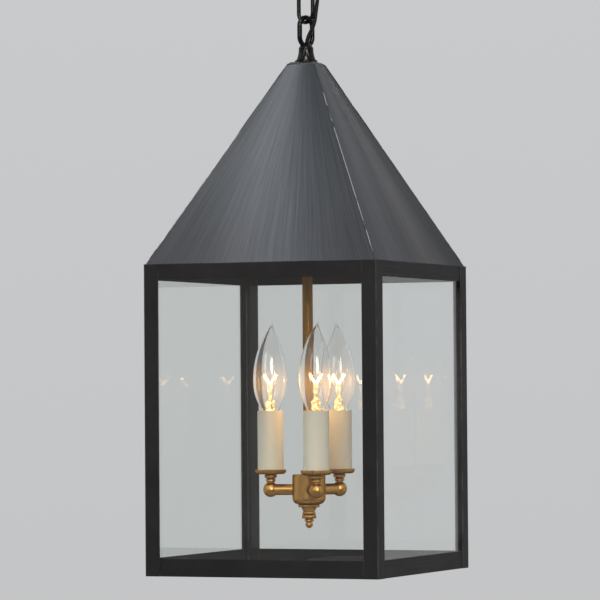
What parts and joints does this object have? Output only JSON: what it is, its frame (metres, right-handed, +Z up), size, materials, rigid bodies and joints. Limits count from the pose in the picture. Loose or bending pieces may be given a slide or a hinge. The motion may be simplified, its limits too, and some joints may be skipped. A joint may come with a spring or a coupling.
{
  "type": "hanging outdoor lantern",
  "caption": "Square hanging lantern of dark folded sheet metal with clear panes, a tall hipped roof, a chain and a brass cluster of candle lights.",
  "frame": {"origin": "middle of the ceiling face, half way between the two ceiling screws", "axes": "+Z up into the ceiling, -Y out of the front pane, +X out of the right pane; the ceiling screws lie along X"},
  "size_m": [0.2286, 0.2286, 0.6642],
  "materials": {
    "dark_sheet": "dark patina on folded sheet, fine brush",
    "brushed_roof": "brushed dark grey sheet, waxed",
    "black_metal": "gloss black",
    "zinc_steel": "zinc plated",
    "satin_brass": "satin, aged",
    "bulb_brass": "bright",
    "ivory_sleeve": "satin ivory",
    "black_socket": "moulded, matte",
    "black_lead": "smooth, satin",
    "pane_glass": "clear, polished",
    "bulb_clear_glass": "clear, blown",
    "glowing_filament": "glass foot with a lit filament"
  },
  "bodies": {
    "ceiling_mount": {"ceiling_strap": "zinc_steel", "ceiling_canopy": "black_metal", "canopy_collar": "black_metal", "canopy_loop": "black_metal", "supply_cord": "black_lead"},
    "upper_link": {"upper_chain_link": "black_metal"},
    "middle_link": {"middle_chain_link": "black_metal"},
    "lower_link": {"lower_chain_link": "black_metal"},
    "lantern": {"hanging_loop": "black_metal", "roof_cap": "brushed_roof", "glazing_clips": "dark_sheet", "stem_tube": "satin_brass", "stem_nut": "satin_brass", "cluster_body": "satin_brass", "cluster_cap": "satin_brass", "cluster_finial": "satin_brass", "roof_panel_front": "brushed_roof", "top_rail_front": "dark_sheet", "bottom_rail_front": "dark_sheet", "glass_pane_front": "pane_glass", "roof_panel_right": "brushed_roof", "top_rail_right": "dark_sheet", "bottom_rail_right": "dark_sheet", "glass_pane_right": "pane_glass", "roof_panel_back": "brushed_roof", "top_rail_back": "dark_sheet", "bottom_rail_back": "dark_sheet", "glass_pane_back": "pane_glass", "roof_panel_left": "brushed_roof", "top_rail_left": "dark_sheet", "bottom_rail_left": "dark_sheet", "glass_pane_left": "pane_glass", "corner_post_front_right": "dark_sheet", "corner_post_back_right": "dark_sheet", "corner_post_back_left": "dark_sheet", "corner_post_front_left": "dark_sheet", "candle_arm_front": "satin_brass", "arm_elbow_front": "satin_brass", "candle_cup_front": "satin_brass", "lamp_socket_front": "black_socket", "candle_sleeve_front": "ivory_sleeve", "bulb_base_front": "bulb_brass", "bulb_mount_front": "glowing_filament", "bulb_glass_front": "bulb_clear_glass", "candle_arm_back": "satin_brass", "arm_elbow_back": "satin_brass", "candle_cup_back": "satin_brass", "lamp_socket_back": "black_socket", "candle_sleeve_back": "ivory_sleeve", "bulb_base_back": "bulb_brass", "bulb_mount_back": "glowing_filament", "bulb_glass_back": "bulb_clear_glass", "candle_arm_left": "satin_brass", "arm_elbow_left": "satin_brass", "candle_cup_left": "satin_brass", "lamp_socket_left": "black_socket", "candle_sleeve_left": "ivory_sleeve", "bulb_base_left": "bulb_brass", "bulb_mount_left": "glowing_filament", "bulb_glass_left": "bulb_clear_glass"}
  },
  "joints": [
    {"name": "upper_link_swing", "type": "hinge", "parent": "ceiling_mount", "child": "upper_link", "pos_m": [0, 0, -0.0647], "axis": [0.3746, 0.9272, 0], "range_deg": [-30, 30], "deforming": ["supply_cord"]},
    {"name": "middle_link_swing", "type": "hinge", "parent": "upper_link", "child": "middle_link", "pos_m": [0, 0, -0.0944], "axis": [0.9272, -0.3746, 0], "range_deg": [-30, 30], "deforming": ["supply_cord"]},
    {"name": "lower_link_swing", "type": "hinge", "parent": "middle_link", "child": "lower_link", "pos_m": [0, 0, -0.1245], "axis": [0.3746, 0.9272, 0], "range_deg": [-30, 30], "deforming": ["supply_cord"]},
    {"name": "lantern_swing", "type": "hinge", "parent": "lower_link", "child": "lantern", "pos_m": [0, 0, -0.1546], "axis": [0.9272, -0.3746, 0], "range_deg": [-30, 30], "deforming": ["supply_cord"]}
  ]
}
